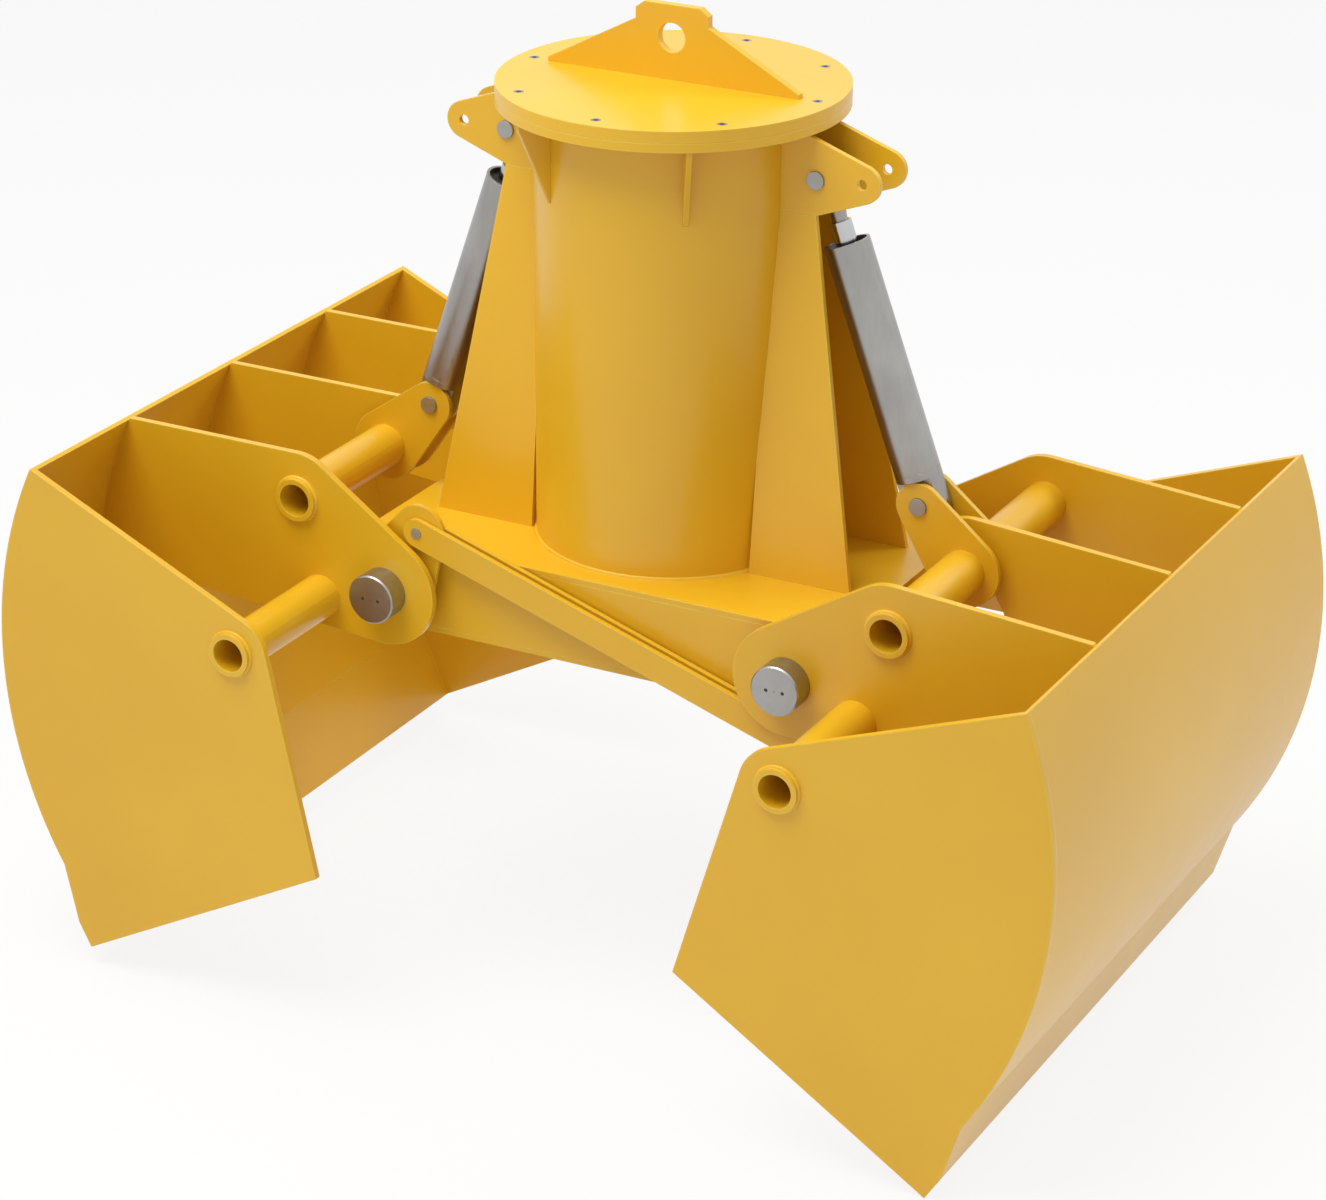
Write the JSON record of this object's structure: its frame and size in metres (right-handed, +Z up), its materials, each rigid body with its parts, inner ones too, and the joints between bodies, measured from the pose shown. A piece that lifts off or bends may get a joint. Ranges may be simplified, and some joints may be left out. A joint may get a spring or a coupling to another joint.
{
  "type": "hydraulic clamshell bucket",
  "caption": "Hydraulic clamshell bucket: two ribbed shells hinged on a base box, closed by cylinders from a central column and kept in step by a cross bar.",
  "frame": {"origin": "centre of the lifting eye's bore", "axes": "+X from the left shell to the right shell, +Y along the cutting lips towards the side without the cross bar, +Z up"},
  "size_m": [2.4554, 1.524, 2.134],
  "materials": {
    "yellow_paint": "semi-gloss paint",
    "grey_paint": "satin paint",
    "pin_steel": "turned",
    "bolt_steel": "plated",
    "chrome_rod": "polished",
    "black_gland": "matt",
    "machine_grey": "matt paint"
  },
  "bodies": {
    "frame": {"lid_plate": "yellow_paint", "lifting_lug": "yellow_paint", "lid_bolts": "bolt_steel", "column_tube": "yellow_paint", "column_flange": "yellow_paint", "flange_gussets": "yellow_paint", "right_bracket_plates": "yellow_paint", "left_bracket_plates": "yellow_paint", "right_leg_plates": "yellow_paint", "left_leg_plates": "yellow_paint", "upper_pins": "pin_steel", "base_top_plate": "yellow_paint", "base_bottom_plate": "yellow_paint", "base_side_plates": "yellow_paint", "base_end_plates": "yellow_paint", "hinge_tubes": "yellow_paint", "motor_plate": "machine_grey", "motor": "machine_grey", "pump": "machine_grey"},
    "right_shell": {"right_front_side_plate": "yellow_paint", "right_rear_side_plate": "yellow_paint", "right_front_pivot_plate": "yellow_paint", "right_rear_pivot_plate": "yellow_paint", "right_middle_rib": "yellow_paint", "right_back_plate": "yellow_paint", "right_cutting_lip": "yellow_paint", "right_upper_tube": "yellow_paint", "right_lower_tubes": "yellow_paint", "right_cylinder_ears": "yellow_paint", "right_hinge_pins": "grey_paint", "right_lower_pin": "pin_steel", "right_sync_arm": "yellow_paint"},
    "right_barrel": {"right_barrel_tube": "yellow_paint", "right_barrel_lug": "yellow_paint", "right_gland": "black_gland"},
    "right_rod": {"right_rod": "chrome_rod", "right_piston": "chrome_rod", "right_rod_eye": "pin_steel"},
    "left_shell": {"left_front_side_plate": "yellow_paint", "left_rear_side_plate": "yellow_paint", "left_front_pivot_plate": "yellow_paint", "left_rear_pivot_plate": "yellow_paint", "left_middle_rib": "yellow_paint", "left_back_plate": "yellow_paint", "left_cutting_lip": "yellow_paint", "left_upper_tube": "yellow_paint", "left_lower_tubes": "yellow_paint", "left_cylinder_ears": "yellow_paint", "left_hinge_pins": "yellow_paint", "left_lower_pin": "pin_steel", "left_sync_arm": "yellow_paint"},
    "left_barrel": {"left_barrel_tube": "yellow_paint", "left_barrel_lug": "yellow_paint", "left_gland": "black_gland"},
    "left_rod": {"left_rod": "chrome_rod", "left_piston": "chrome_rod", "left_rod_eye": "pin_steel"},
    "sync_bar": {"sync_bar_front": "yellow_paint", "sync_bar_rear": "yellow_paint", "sync_bar_pins": "pin_steel"}
  },
  "joints": [
    {"name": "right_shell_swing", "type": "hinge", "parent": "frame", "child": "right_shell", "pos_m": [0.4792, 0, -1.1829], "axis": [0, 1, 0], "range_deg": [0, 57.6]},
    {"name": "left_shell_swing", "type": "hinge", "parent": "frame", "child": "left_shell", "pos_m": [-0.4792, 0, -1.1829], "axis": [0, 1, 0], "range_deg": [-62.5, 0.5]},
    {"name": "right_barrel_tilt", "type": "hinge", "parent": "right_shell", "child": "right_barrel", "pos_m": [0.59855, 0, -0.90487], "axis": [0, 1, 0], "range_deg": [-63.9, 0.5]},
    {"name": "right_rod_slide", "type": "slide", "parent": "right_barrel", "child": "right_rod", "axis": [-0.3487, 0, 0.9372], "range_m": [-0.002, 0.2744]},
    {"name": "left_barrel_tilt", "type": "hinge", "parent": "left_shell", "child": "left_barrel", "pos_m": [-0.57687, 0, -0.89653], "axis": [0, 1, 0], "range_deg": [-0.5, 70]},
    {"name": "left_rod_slide", "type": "slide", "parent": "left_barrel", "child": "left_rod", "axis": [0.3252, 0, 0.9457], "range_m": [-0.002, 0.285]},
    {"name": "sync_bar_swing", "type": "hinge", "parent": "left_shell", "child": "sync_bar", "pos_m": [-0.40592, 0, -1.04213], "axis": [0, 1, 0], "range_deg": [-0.5, 61.1]}
  ],
  "couplings": [
    {"joint": "left_shell_swing", "follows": "right_shell_swing", "ratio": -1.0764},
    {"joint": "right_barrel_tilt", "follows": "right_shell_swing", "ratio": -1.1007},
    {"joint": "right_rod_slide", "follows": "right_shell_swing", "m_per_rad": 0.27096},
    {"joint": "left_barrel_tilt", "follows": "right_shell_swing", "ratio": 1.2066},
    {"joint": "left_rod_slide", "follows": "right_shell_swing", "m_per_rad": 0.28151},
    {"joint": "sync_bar_swing", "follows": "right_shell_swing", "ratio": 1.0521}
  ]
}
